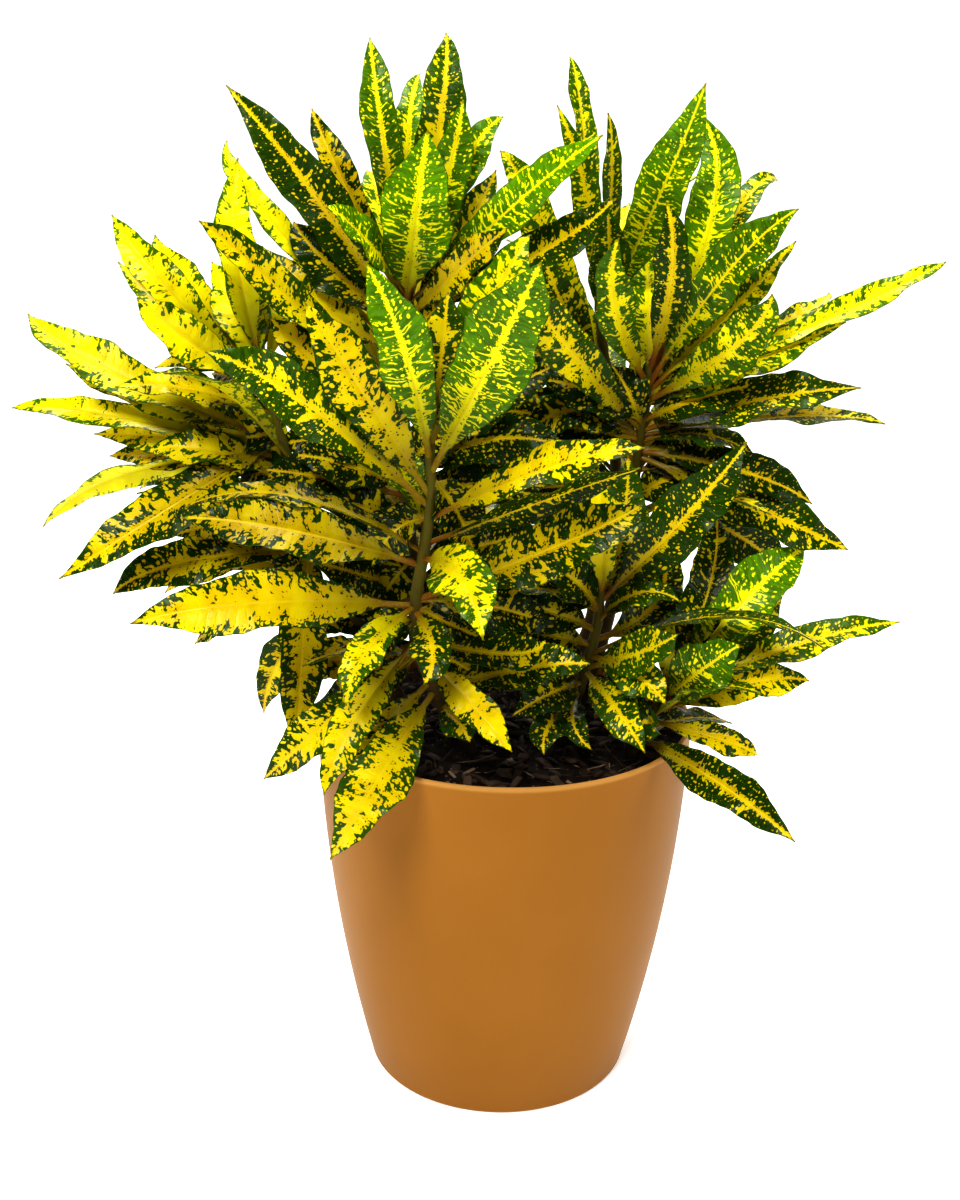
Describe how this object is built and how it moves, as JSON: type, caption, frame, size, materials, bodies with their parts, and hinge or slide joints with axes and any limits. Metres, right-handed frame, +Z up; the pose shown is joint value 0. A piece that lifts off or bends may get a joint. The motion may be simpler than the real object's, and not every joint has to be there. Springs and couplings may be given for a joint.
{
  "type": "potted croton",
  "caption": "Bushy potted croton: leafy stems of lance-shaped green leaves splashed with yellow, standing in dark bark compost in a round tapered plastic pot.",
  "frame": {"origin": "centre of the pot's underside, on the surface that the pot stands on", "axes": "+Z up along the pot's axis, front of the plant towards -Y, +X to the viewer's right"},
  "size_m": [0.4989, 0.3117, 0.6018],
  "materials": {
    "pot": "satin",
    "soil": "matte",
    "foliage": "satin"
  },
  "bodies": {
    "root": {"pot": "pot", "soil": "soil", "stem_front": "foliage", "stem_top": "foliage", "stem_left": "foliage", "stem_right": "foliage", "stem_right_back": "foliage", "stem_low_centre": "foliage", "stem_low_right": "foliage"}
  },
  "joints": []
}
